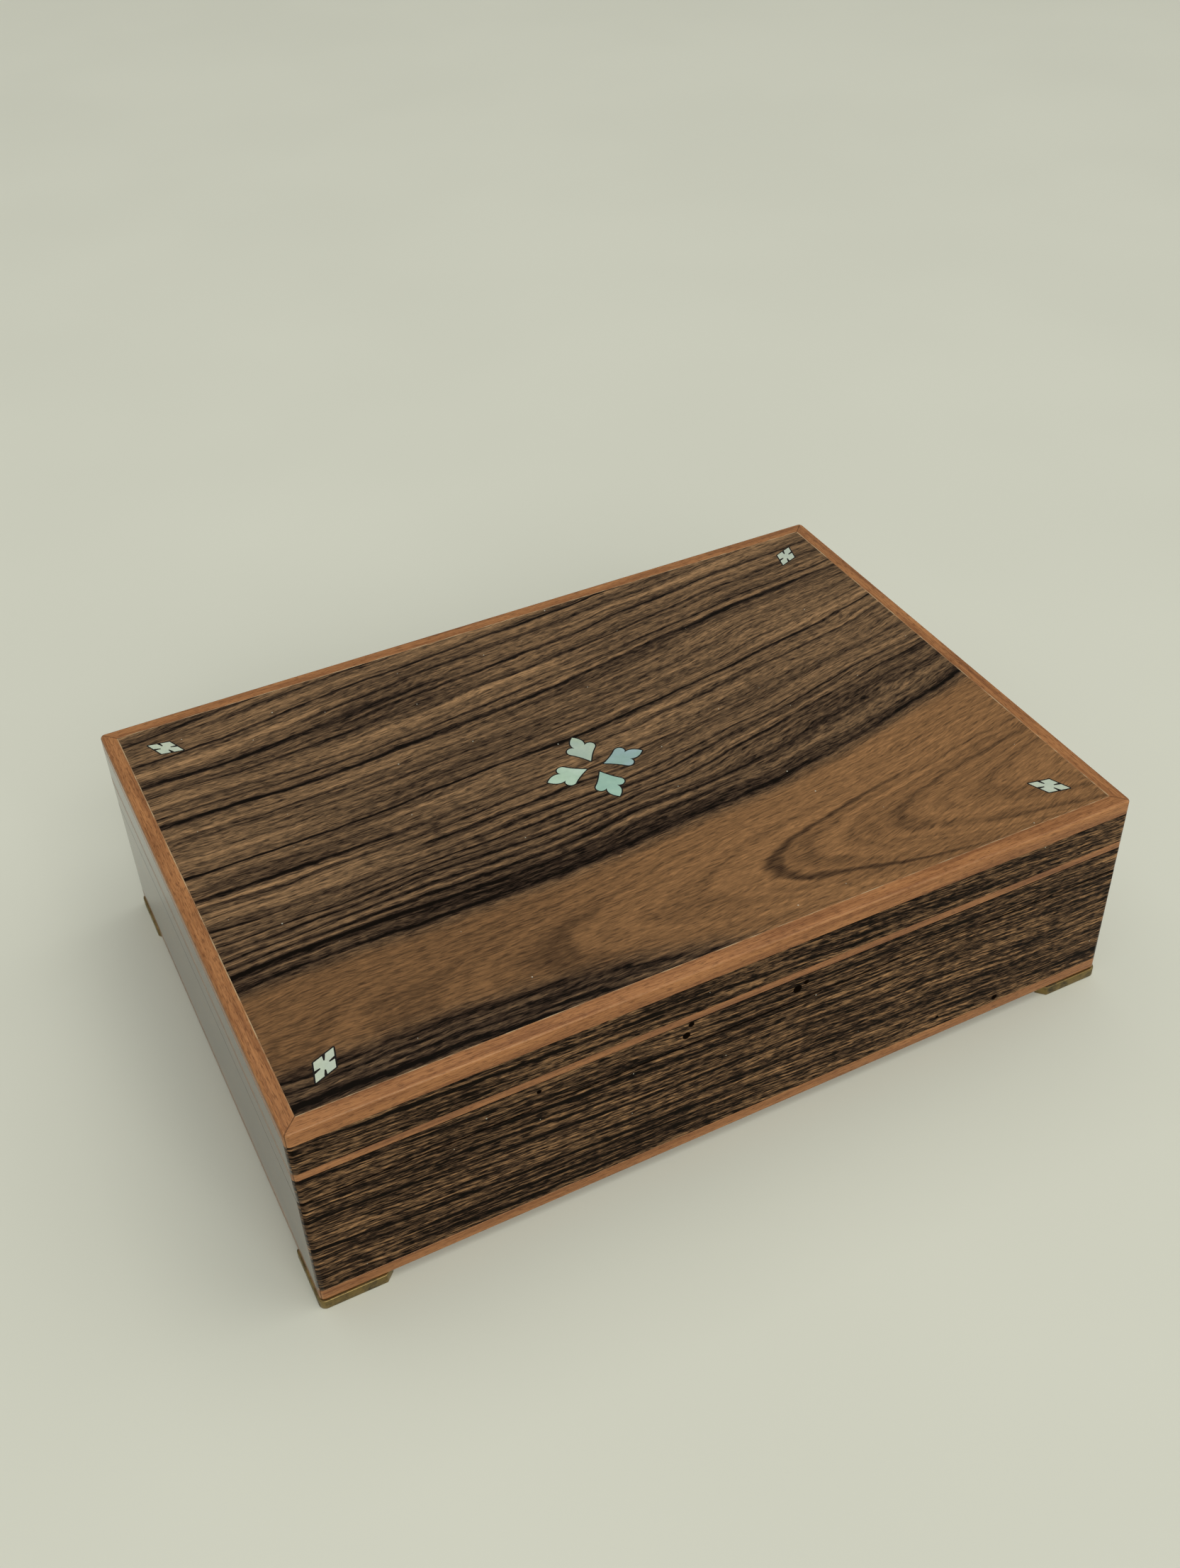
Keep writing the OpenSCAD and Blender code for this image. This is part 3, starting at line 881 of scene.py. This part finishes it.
# %% Side veneers
FRONT_STREAKS = (
    (1.5, 0.8, 0.35, 60, 200),
    (4.3, 1.0, 0.62, 20, 160),
    (8.0, 0.6, 0.35, -20, 110),
    (12.0, 0.6, 0.30, 100, 260),
    (17.3, 0.9, 0.50, -20, 46),
    (20.0, 0.5, 0.35, 60, 240),
    (23.3, 1.1, 0.66, 50, 112),
    (24.0, 0.7, 0.45, 112, 215),
    (28.5, 0.6, 0.35, -20, 90),
    (32.7, 0.8, 0.60, -20, 128),
    (36.5, 1.7, 0.50, 184, 218),
    (39.5, 0.6, 0.35, 30, 180),
    (44.0, 0.9, 0.60, -20, 118),
    (43.6, 1.0, 0.55, 190, 260),
    (47.0, 0.6, 0.35, 60, 200),
    (50.0, 1.0, 0.66, 24, 118),
    (54.5, 0.9, 0.50, -20, 90),
    (57.5, 0.8, 0.45, 60, 220),
)
OTHER_STREAKS = (
    (3.0, 0.9, 0.45, -20, 90),
    (9.0, 0.8, 0.55, 40, 260),
    (15.5, 0.7, 0.40, -20, 150),
    (22.0, 1.0, 0.60, -20, 260),
    (27.0, 0.6, 0.35, 70, 260),
    (33.5, 1.2, 0.60, 20, 130),
    (40.0, 0.8, 0.45, -20, 260),
    (46.0, 1.0, 0.62, 60, 200),
    (52.0, 0.8, 0.50, -20, 120),
    (58.0, 0.9, 0.55, 40, 260),
)
FRONT_PITS = (
    (102.8, 21.0, 0.85),
    (135.4, 20.7, 1.10),
    (138.0, 19.4, 0.5),
    (104.2, 17.8, 0.6),
    (62.0, 19.6, 0.45),
    (203.0, 58.0, 0.8),
    (183.0, 56.0, 0.5),
)


def side_veneer(name, turn, streaks, pits=(), seed=0.0, lacquer=SIDE_LACQUER):
    """Veneer for one side. turn is how far that side is turned from the front."""
    material, tree, shader, mm = new_material(name, **lacquer)
    upright = node(tree, "Mapping", {"Vector": mm, "Rotation": (0, 0, -turn)}).outputs["Vector"]
    side_x, _, z = split(tree, upright)[:3]
    x = calc(tree, "ADD", side_x, HALF_L_MM)
    down = minus(tree, TOP_MM, z)
    place = join(tree, x, down, seed)
    wave = noise(tree, stretch(tree, place, (80, 25, 1)), 2.0, 0.5)
    ripple = noise(tree, stretch(tree, place, (16, 4, 1)), 2.0, 0.5)
    field = calc(tree, "MULTIPLY_ADD", x, -0.05, down)
    field = calc(tree, "MULTIPLY_ADD", wave, 5.0, minus(tree, field, 2.5))
    field = calc(tree, "MULTIPLY_ADD", ripple, 1.2, minus(tree, field, 0.6))
    lines = darkest(tree, field, x, streaks)
    bands = drawn_out(tree, x, field, 120.0, 3.4, seed)
    threads = drawn_out(tree, x, field, 28.0, 0.9, seed + 3.0, 3.0)
    body = calc(tree, "MULTIPLY_ADD", bands, 0.13, 0.60)
    body = calc(tree, "MULTIPLY_ADD", threads, 0.24, body)
    strength = drawn_out(tree, x, field, 18.0, 2.0, seed + 6.0, 1.0)
    strength = calc(tree, "MULTIPLY_ADD", strength, 0.3, 0.9)
    body = calc(tree, "MULTIPLY_ADD", lines, strength, body)
    # glue line right under the stringing, and a painted shadow in the joint of lid and base
    for level, reach, amount in ((16.65, 0.3, 0.4), (25.0, 0.35, 0.45)):
        off = calc(tree, "ABSOLUTE", minus(tree, down, level))
        body = calc(tree, "ADD", body, fade(tree, off, 0.05, reach, amount, 0.0))
    holes = 0.0
    for pit_x, pit_down, radius in pits:
        ends = {0: join(tree, x, down), 1: (pit_x, pit_down, 0)}
        gap = node(tree, "VectorMath", ends, operation="DISTANCE").outputs["Value"]
        ragged = calc(tree, "MULTIPLY_ADD", ripple, 1.2, gap)
        hole = fade(tree, ragged, radius + 0.6, radius + 0.9, 1.0, 0.0)
        holes = calc(tree, "MAXIMUM", holes, hole)
    if pits:
        body = calc(tree, "MULTIPLY_ADD", holes, 2.0, body)
        feed(tree, shader, Coat_Weight=minus(tree, 1.0, holes))
    finish_veneer(tree, shader, body, x, field, 0.45, 1.8)
    return material


QUARTER = math.pi / 2
veneer_sides = {
    "front": side_veneer("veneer_front", 0, FRONT_STREAKS, FRONT_PITS),
    "right": side_veneer("veneer_right", QUARTER, OTHER_STREAKS, (), 3.0),
    "back": side_veneer("veneer_back", 2 * QUARTER, OTHER_STREAKS, (), 11.0),
    "left": side_veneer("veneer_left", 3 * QUARTER, OTHER_STREAKS, (), 19.0, END_LACQUER),
}

# %% [markdown]
# ## Edging wood
# The edging and the stringing are a straight-grained red-brown wood, lighter than
# the veneer, with short dark pores. The grain runs along each strip, so the strips
# on the short sides turn the pattern by a quarter. The rounded arris is painted a
# little paler, partly as rubbed wear and partly as a painted highlight, the finish
# has chipped in places, and a pale hairline is painted where the strip meets the
# veneer of the lid. The stringing is the same wood, let in flush with the veneer,
# where dirt settles, so it has gone a little grey.

# %% Edging
EDGING_RED = paint(173, 121, 77)
EDGING_DEEP = paint(118, 76, 48)
EDGING_PALE = paint(190, 144, 100)


def edging_wood(name, turn, seed=0.0, grime=0.0):
    """Red-brown strip wood with its grain turned to one side of the box."""
    material, tree, shader, mm = new_material(
        name, Specular_IOR_Level=0.0, Coat_Weight=1.0, Coat_IOR=1.2, Coat_Roughness=0.2
    )
    run_mm = node(tree, "Mapping", {"Vector": mm, "Rotation": (0, 0, -turn)}).outputs["Vector"]
    along, out, z = split(tree, run_mm)[:3]
    across = calc(tree, "ADD", out, z)
    place = join(tree, along, across, seed)
    cloud = fade(tree, noise(tree, stretch(tree, place, (34, 2.6, 1)), 3.0, 0.6), 0.36, 0.64)
    lines = fade(tree, noise(tree, stretch(tree, place, (26, 0.45, 1)), 3.0, 0.65), 0.3, 0.7)
    grain = group_node(tree, fibre_group, Along=along, Across=across, Length=1.8, Width=0.22)
    tone = calc(tree, "MULTIPLY_ADD", lines, 0.5, times(tree, cloud, 0.5))
    colour = blend(tree, tone, EDGING_DEEP, EDGING_RED)
    bright = times(tree, calc(tree, "MAXIMUM", grain["Fibres"], 0.0), 0.16)
    colour = blend(tree, bright, colour, EDGING_PALE)
    pores = times(tree, grain["Pores"], 0.45)
    colour = blend(tree, pores, colour, paint(70, 40, 26))
    # the rounded arris is painted paler: partly rubbed wear, partly a painted highlight
    normal = node(tree, "TexCoord").outputs["Normal"]
    rounded_edges = group_node(tree, rounded_edge_group, Normal=normal, Place=mm, Amount=0.4)["Rub"]
    colour = blend(tree, rounded_edges, colour, EDGING_PALE)
    soiled = times(tree, fade(tree, cloud, 0.0, 1.0, 1.2, 0.8), grime)
    colour = blend(tree, soiled, colour, paint(84, 66, 56))
    # a pale line where the strip meets the veneer, and a dark one at the mitres
    x, y, height = split(tree, mm)[:3]
    x_side, y_side = calc(tree, "ABSOLUTE", x), calc(tree, "ABSOLUTE", y)
    past_x = minus(tree, x_side, HALF_L_MM - EDGING_W / MM)
    past_y = minus(tree, y_side, HALF_D_MM - EDGING_W / MM)
    outward = calc(tree, "MAXIMUM", past_x, past_y)
    on_top = calc(tree, "GREATER_THAN", height, TOP_MM - 0.5)
    seam_line = fade(tree, outward, 0.12, 0.42, 1.0, 0.0)
    broken = noise(tree, stretch(tree, place, (6, 2, 1)), 3.0, 0.6)
    broken = fade(tree, broken, 0.4, 0.65, 0.1, 0.75)
    seam_line = times(tree, seam_line, broken, on_top)
    colour = blend(tree, seam_line, colour, paint(196, 176, 140))
    from_mitre = minus(tree, past_x, past_y)
    mitre = fade(tree, calc(tree, "ABSOLUTE", from_mitre), 0.1, 0.3, 0.6, 0.0)
    colour = blend(tree, mitre, colour, paint(64, 38, 24))
    drawn = stretch(tree, place, (3.0, 1.0, 1.0))
    chips = group_node(tree, speck_group, Place=drawn, Spacing=9.0, Size=0.5)["Specks"]
    chips = times(tree, chips, calc(tree, "GREATER_THAN", rounded_edges, 0.17))
    colour = blend(tree, times(tree, chips, 0.7), colour, paint(222, 186, 140))
    feed(tree, shader, Base_Color=colour)
    rough = fade(tree, noise(tree, mm, 3.0, 0.55, 22.0), 0.3, 0.7, 0.40, 0.52)
    feed(tree, shader, Roughness=rough)
    bump(tree, shader, grain["Height"], 0.025, 0.6)
    return material


edging_finish = {}
stringing_finish = {}
for turn, side in enumerate(SIDES):
    edging_finish[side] = edging_wood("edging_" + side, turn * QUARTER, 5.0 * turn)
    seed = 5.0 * turn + 2.0
    stringing_finish[side] = edging_wood("stringing_" + side, turn * QUARTER, seed, 0.16)

# %% [markdown]
# ## Shell and filler
# The inlays are slips of mother-of-pearl. Shell has a cool pale body and a faint
# colour that drifts across each slip with the direction of its layers, so every slip
# is a little different. Four leaves get a tint each and the lozenges share one. The
# filler is black mastic, slightly sunk and dull.

# %% Shell


def shell(name, body, flash, deep):
    """Mother-of-pearl that drifts between two colours, with a third in its layers."""
    body, flash, deep = paint(*body), paint(*flash), paint(*deep)
    material, tree, shader, mm = new_material(
        name, Roughness=0.3, Specular_IOR_Level=0.4, Coat_Weight=0.1, Coat_Roughness=0.12
    )
    layers = node(
        tree,
        "TexWave",
        {"Vector": mm, "Scale": 0.07, "Distortion": 7.0, "Detail": 3.0, "Detail Scale": 1.4},
        bands_direction="DIAGONAL",
    ).outputs["Fac"]
    drift = fade(tree, noise(tree, mm, 2.0, 0.5, 6.0), 0.35, 0.65)
    colour = blend(tree, drift, body, flash)
    colour = blend(tree, times(tree, layers, 0.4), colour, deep)
    grey = fade(tree, noise(tree, mm, 4.0, 0.6, 1.2), 0.35, 0.7, 0.0, 0.12)
    colour = blend(tree, grey, colour, paint(120, 140, 130))
    feed(tree, shader, Base_Color=colour)
    bump(tree, shader, layers, 0.02, 0.35)
    return material


shell_finish = {
    "front": shell("shell_aqua", (149, 184, 169), (160, 193, 178), (139, 175, 163)),
    "right": shell("shell_blue", (142, 172, 164), (150, 176, 180), (132, 162, 156)),
    "back": shell("shell_grey_green", (170, 188, 166), (162, 181, 168), (180, 193, 178)),
    "left": shell("shell_mint", (175, 201, 179), (183, 206, 190), (163, 191, 172)),
}
shell_corner = shell("shell_pale", (186, 198, 178), (180, 193, 179), (196, 203, 184))

# %% Filler


def mastic():
    """Black filler, mottled and dull."""
    material, tree, shader, mm = new_material("black_filler", Specular_IOR_Level=0.15)
    mottle = fade(tree, noise(tree, mm, 4.0, 0.6, 0.8), 0.3, 0.7)
    feed(tree, shader, Base_Color=blend(tree, mottle, paint(12, 10, 9), paint(26, 21, 18)))
    feed(tree, shader, Roughness=fade(tree, mottle, 0.0, 1.0, 0.45, 0.7))
    bump(tree, shader, mottle, 0.04)
    return material


filler_finish = mastic()

# %% [markdown]
# ## Brass
# The feet are old brass: olive brown with tarnish, rubbed brighter along the edges.
# The hinges and screws have been out of the light and stay yellower. One function
# makes all three from a bright and a dull colour. Tarnish is oxide, which is rough
# and hardly metallic, so the same mask drives colour, roughness and metalness.

# %% Brass


def brass(name, bright, dull, tarnish):
    """Brass between a bright and a dull colour, with a share of tarnish."""
    material, tree, shader, mm = new_material(name)
    stain = fade(tree, noise(tree, mm, 5.0, 0.62, 4.0), 0.42, 0.68)
    freckle = fade(tree, noise(tree, mm, 3.0, 0.6, 0.7), 0.55, 0.75)
    stain = calc(tree, "MAXIMUM", stain, times(tree, freckle, 0.8))
    stain = times(tree, stain, tarnish)
    normal = node(tree, "TexCoord").outputs["Normal"]
    rounded_edges = group_node(tree, rounded_edge_group, Normal=normal, Place=mm, Amount=0.9)["Rub"]
    stain = calc(tree, "SUBTRACT", stain, rounded_edges, clamp=True)
    colour = blend(tree, stain, bright, dull)
    feed(tree, shader, Base_Color=colour)
    brushed = noise(tree, stretch(tree, mm, (9.0, 0.12, 0.3)), 3.0, 0.6)
    rough = calc(tree, "MULTIPLY_ADD", stain, 0.3, fade(tree, brushed, 0.3, 0.7, 0.30, 0.44))
    feed(tree, shader, Roughness=rough)
    feed(tree, shader, Metallic=fade(tree, stain, 0.0, 1.0, 1.0, 0.55))
    height = calc(tree, "MULTIPLY_ADD", stain, 0.4, times(tree, brushed, 0.4))
    bump(tree, shader, height, 0.01, 0.5)
    return material


foot_finish = brass("old_brass", paint(142, 122, 78), paint(70, 62, 42), 1.0)
hinge_finish = brass("hinge_brass", paint(196, 164, 104), paint(128, 102, 62), 0.5)
screw_finish = brass("screw_brass", paint(208, 182, 124), paint(112, 92, 60), 0.6)

# %% [markdown]
# ## Core wood and bottom panel
# Under the veneer the walls are a plain pale wood, stained brown on the rims that
# show when the lid is up. The bottom panel is thin plywood with a light wash of
# stain. Both are simple straight grain, drawn with the same fibre group.

# %% Core wood


def plain_wood(name, light, dark, turn, gloss):
    """Straight-grained wood between two colours."""
    material, tree, shader, mm = new_material(name)
    run_mm = node(tree, "Mapping", {"Vector": mm, "Rotation": (0, 0, -turn)}).outputs["Vector"]
    along, out, z = split(tree, run_mm)[:3]
    across = calc(tree, "MULTIPLY_ADD", z, 0.8, out)
    place = join(tree, along, across)
    rings = fade(tree, noise(tree, stretch(tree, place, (120, 5, 1)), 3.0, 0.6), 0.3, 0.7)
    grain = group_node(tree, fibre_group, Along=along, Across=across, Length=4.0, Width=0.35)
    colour = blend(tree, rings, light, dark)
    colour = blend(tree, times(tree, grain["Pores"], 0.35), colour, dark)
    flecks = times(tree, calc(tree, "MAXIMUM", grain["Fibres"], 0.0), 0.2)
    colour = blend(tree, flecks, colour, light)
    feed(tree, shader, Base_Color=colour)
    feed(tree, shader, Roughness=fade(tree, rings, 0.0, 1.0, gloss, gloss + 0.1))
    bump(tree, shader, grain["Height"], 0.04, 0.7)
    return material


core_finish = {
    "front": plain_wood("core_long", paint(148, 108, 72), paint(108, 74, 48), 0, 0.5),
    "right": plain_wood("core_short", paint(148, 108, 72), paint(108, 74, 48), QUARTER, 0.5),
}
panel_finish = plain_wood("bottom_plywood", paint(170, 134, 94), paint(132, 98, 64), 0, 0.6)

# %% [markdown]
# ## Velvet
# Velvet is a pile of short upright threads. Seen straight on it is deep and dark;
# at a grazing angle the threads light up. The shader's sheen gives that rim, and the
# places where the pile has been pushed over show as soft lighter patches, so a
# cloudy mask drives the colour and a fine one roughens the surface.

# %% Velvet


def velvet():
    """Red pile with soft pushed-over patches."""
    material, tree, shader, mm = new_material(
        "red_velvet",
        Sheen_Weight=0.8,
        Sheen_Roughness=0.35,
        Sheen_Tint=paint(232, 120, 110),
        Specular_IOR_Level=0.15,
    )
    brushed = fade(tree, noise(tree, mm, 4.0, 0.6, 26.0), 0.35, 0.65)
    pile = noise(tree, mm, 3.0, 0.7, 0.35)
    colour = blend(tree, brushed, paint(103, 15, 23), paint(117, 18, 28))
    colour = blend(tree, fade(tree, pile, 0.35, 0.7, 0.0, 0.45), colour, paint(62, 6, 12))
    feed(tree, shader, Base_Color=colour)
    feed(tree, shader, Roughness=fade(tree, brushed, 0.0, 1.0, 0.85, 0.97))
    bump(tree, shader, calc(tree, "MULTIPLY_ADD", brushed, 0.6, pile), 0.12, 0.8)
    return material


velvet_finish = velvet()

# %% [markdown]
# ## Dress the box
# Each piece now gets its finish, rides on its body, and
# hides the CAD solids that it stands for. CAD nodes that stay are welded and eased
# by live modifiers, because their own meshes are never changed: a Weld joins their
# loose triangles, and a small Bevel gives their edges a line of light.

# %% Dress


def dress(piece, finish, body, slot, *stands_for):
    """Finish and body for a new piece, and the CAD nodes it stands for. The slot is not used."""
    piece.data.materials.clear()
    piece.data.materials.append(finish)
    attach(piece, body)
    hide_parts(*stands_for)


EASE_ANGLE = math.radians(40)


def dress_node(name, finish, edge_mm=0.0):
    """Finish for a CAD node that stays, with its sharp edges eased."""
    piece = nodes[name]
    piece.data.materials.clear()
    piece.data.materials.append(finish)
    if edge_mm:
        joined = piece.modifiers.new("join triangles", "WELD")
        joined.merge_threshold = 0.002 * MM
        eased = piece.modifiers.new("eased edges", "BEVEL")
        eased.width = edge_mm * MM
        eased.segments = 2
        eased.limit_method = "ANGLE"
        eased.angle_limit = EASE_ANGLE


for side in SIDES:
    dress(top_edging[side], edging_finish[side], "lid", "edging", f"top_{side}_edging")
    dress(bottom_edging[side], edging_finish[side], "base", "edging", f"bottom_{side}_edging")
    dress(cards[side], velvet_finish, "base", "velvet", f"base_{side}_lining")
    dress_node(f"lid_{side}_veneer", veneer_sides[side], 0.12)
    dress_node(f"base_{side}_veneer", veneer_sides[side], 0.12)
    dress_node(f"lid_{side}_stringing", stringing_finish[side])
    core = core_finish["front" if side in ("front", "back") else "right"]
    dress_node(f"lid_{side}_board", core, 0.2)
    dress_node(f"base_{side}_board", core, 0.2)
    dress_node(f"centre_inlay_{side}", shell_finish[side])
for corner in CORNERS:
    dress(feet[corner], foot_finish, "base", "foot_brass", corner + "_foot")
    dress_node("corner_inlay_" + corner, shell_corner)
dress(floor_pad, velvet_finish, "base", "velvet", "base_floor_pad")
dress(lid_pad, velvet_finish, "lid", "velvet", "lid_ceiling_pad")
dress_node("lid_top_veneer", veneer_top)
dress_node("inlay_filler_beds", filler_finish)
dress_node("lid_top_board", core_finish["front"])
dress_node("base_bottom_panel", panel_finish, 0.15)
dress_node("foot_screws", screw_finish, 0.06)
dress_node("base_hinge_screws", screw_finish, 0.06)
dress_node("lid_hinge_screws", screw_finish, 0.06)
for hand in ("left", "right"):
    dress_node(hand + "_hinge_base_leaf", hinge_finish, 0.12)
    dress_node(hand + "_hinge_lid_leaf", hinge_finish, 0.12)
    dress_node(hand + "_hinge_pin", hinge_finish, 0.1)

# %% [markdown]
# ## Floor and light
# The box stands on a plain pale floor that runs out of the picture. One wide soft
# light stands in front, as a bright room would give, a second one hangs above, and a
# weak sun with a very soft edge comes in from the right, as from a window. A pale
# world keeps the shaded sides readable. The polished left side mirrors the floor, as
# lacquer does when it is seen at a low angle.

# %% Floor and light
FLOOR_SIZE = 8.0
ROOM_POWER = 105
CEILING_POWER = 41
WINDOW_POWER = 0.7
WINDOW_SOFTNESS = math.radians(60)
WORLD_POWER = 0.25
HORIZON_POWER = 0.4


def pale_floor():
    """A plain floor."""
    let_go()
    bpy.ops.mesh.primitive_plane_add(size=FLOOR_SIZE, location=(0, 0, 0))
    floor = keep_place("floor")
    material, tree, shader, mm = new_material("pale_floor", Specular_IOR_Level=0.1)
    mottle = fade(tree, noise(tree, mm, 2.0, 0.5, 160.0), 0.3, 0.7)
    colour = blend(tree, mottle, paint(210, 212, 200), paint(212, 214, 202))
    feed(tree, shader, Base_Color=colour)
    feed(tree, shader, Roughness=fade(tree, mottle, 0.0, 1.0, 0.85, 0.95))
    floor.data.materials.append(material)


def lamp(name, kind, power, tint, place, aim):
    """A lamp of one kind that shines from a place towards an aim; returns its data."""
    data = bpy.data.lights.new(name, kind)
    data.energy = power
    data.color = tint
    made = bpy.data.objects.new(name, data)
    bpy.context.collection.objects.link(made)
    made.location = place
    made.rotation_mode = "QUATERNION"
    made.rotation_quaternion = (Vector(aim) - Vector(place)).to_track_quat("-Z", "Y")
    return data


def soft_light(name, power, tint, place, aim, size):
    """A rectangle of light of a size in metres."""
    data = lamp(name, "AREA", power, tint, place, aim)
    data.shape = "RECTANGLE"
    data.size, data.size_y = size


pale_floor()
soft_light("room", ROOM_POWER, (1.0, 0.985, 0.94), (-0.5, -3.4, 2.6), (0, 0, 0), (3.4, 2.6))
soft_light("ceiling", CEILING_POWER, (1.0, 0.99, 0.95), (0, 0.5, 3.4), (0, 0.2, 0), (4.0, 4.0))
window = lamp("window", "SUN", WINDOW_POWER, (1.0, 0.985, 0.93), (1.5, -0.5, 1.9), (0, 0, 0))
window.angle = WINDOW_SOFTNESS
world = bpy.data.worlds.new("room")
bpy.context.scene.world = world
world.use_nodes = True
backdrop = world.node_tree.nodes["Background"]
backdrop.inputs["Color"].default_value = (0.94, 0.94, 0.87, 1)
# the horizon shows pale, but lights the room only a little
looked_at = node(world.node_tree, "LightPath").outputs["Is Camera Ray"]
shine = calc(world.node_tree, "MULTIPLY_ADD", looked_at, HORIZON_POWER, WORLD_POWER)
world.node_tree.links.new(shine, backdrop.inputs["Strength"])
bpy.context.scene.view_settings.view_transform = "Standard"
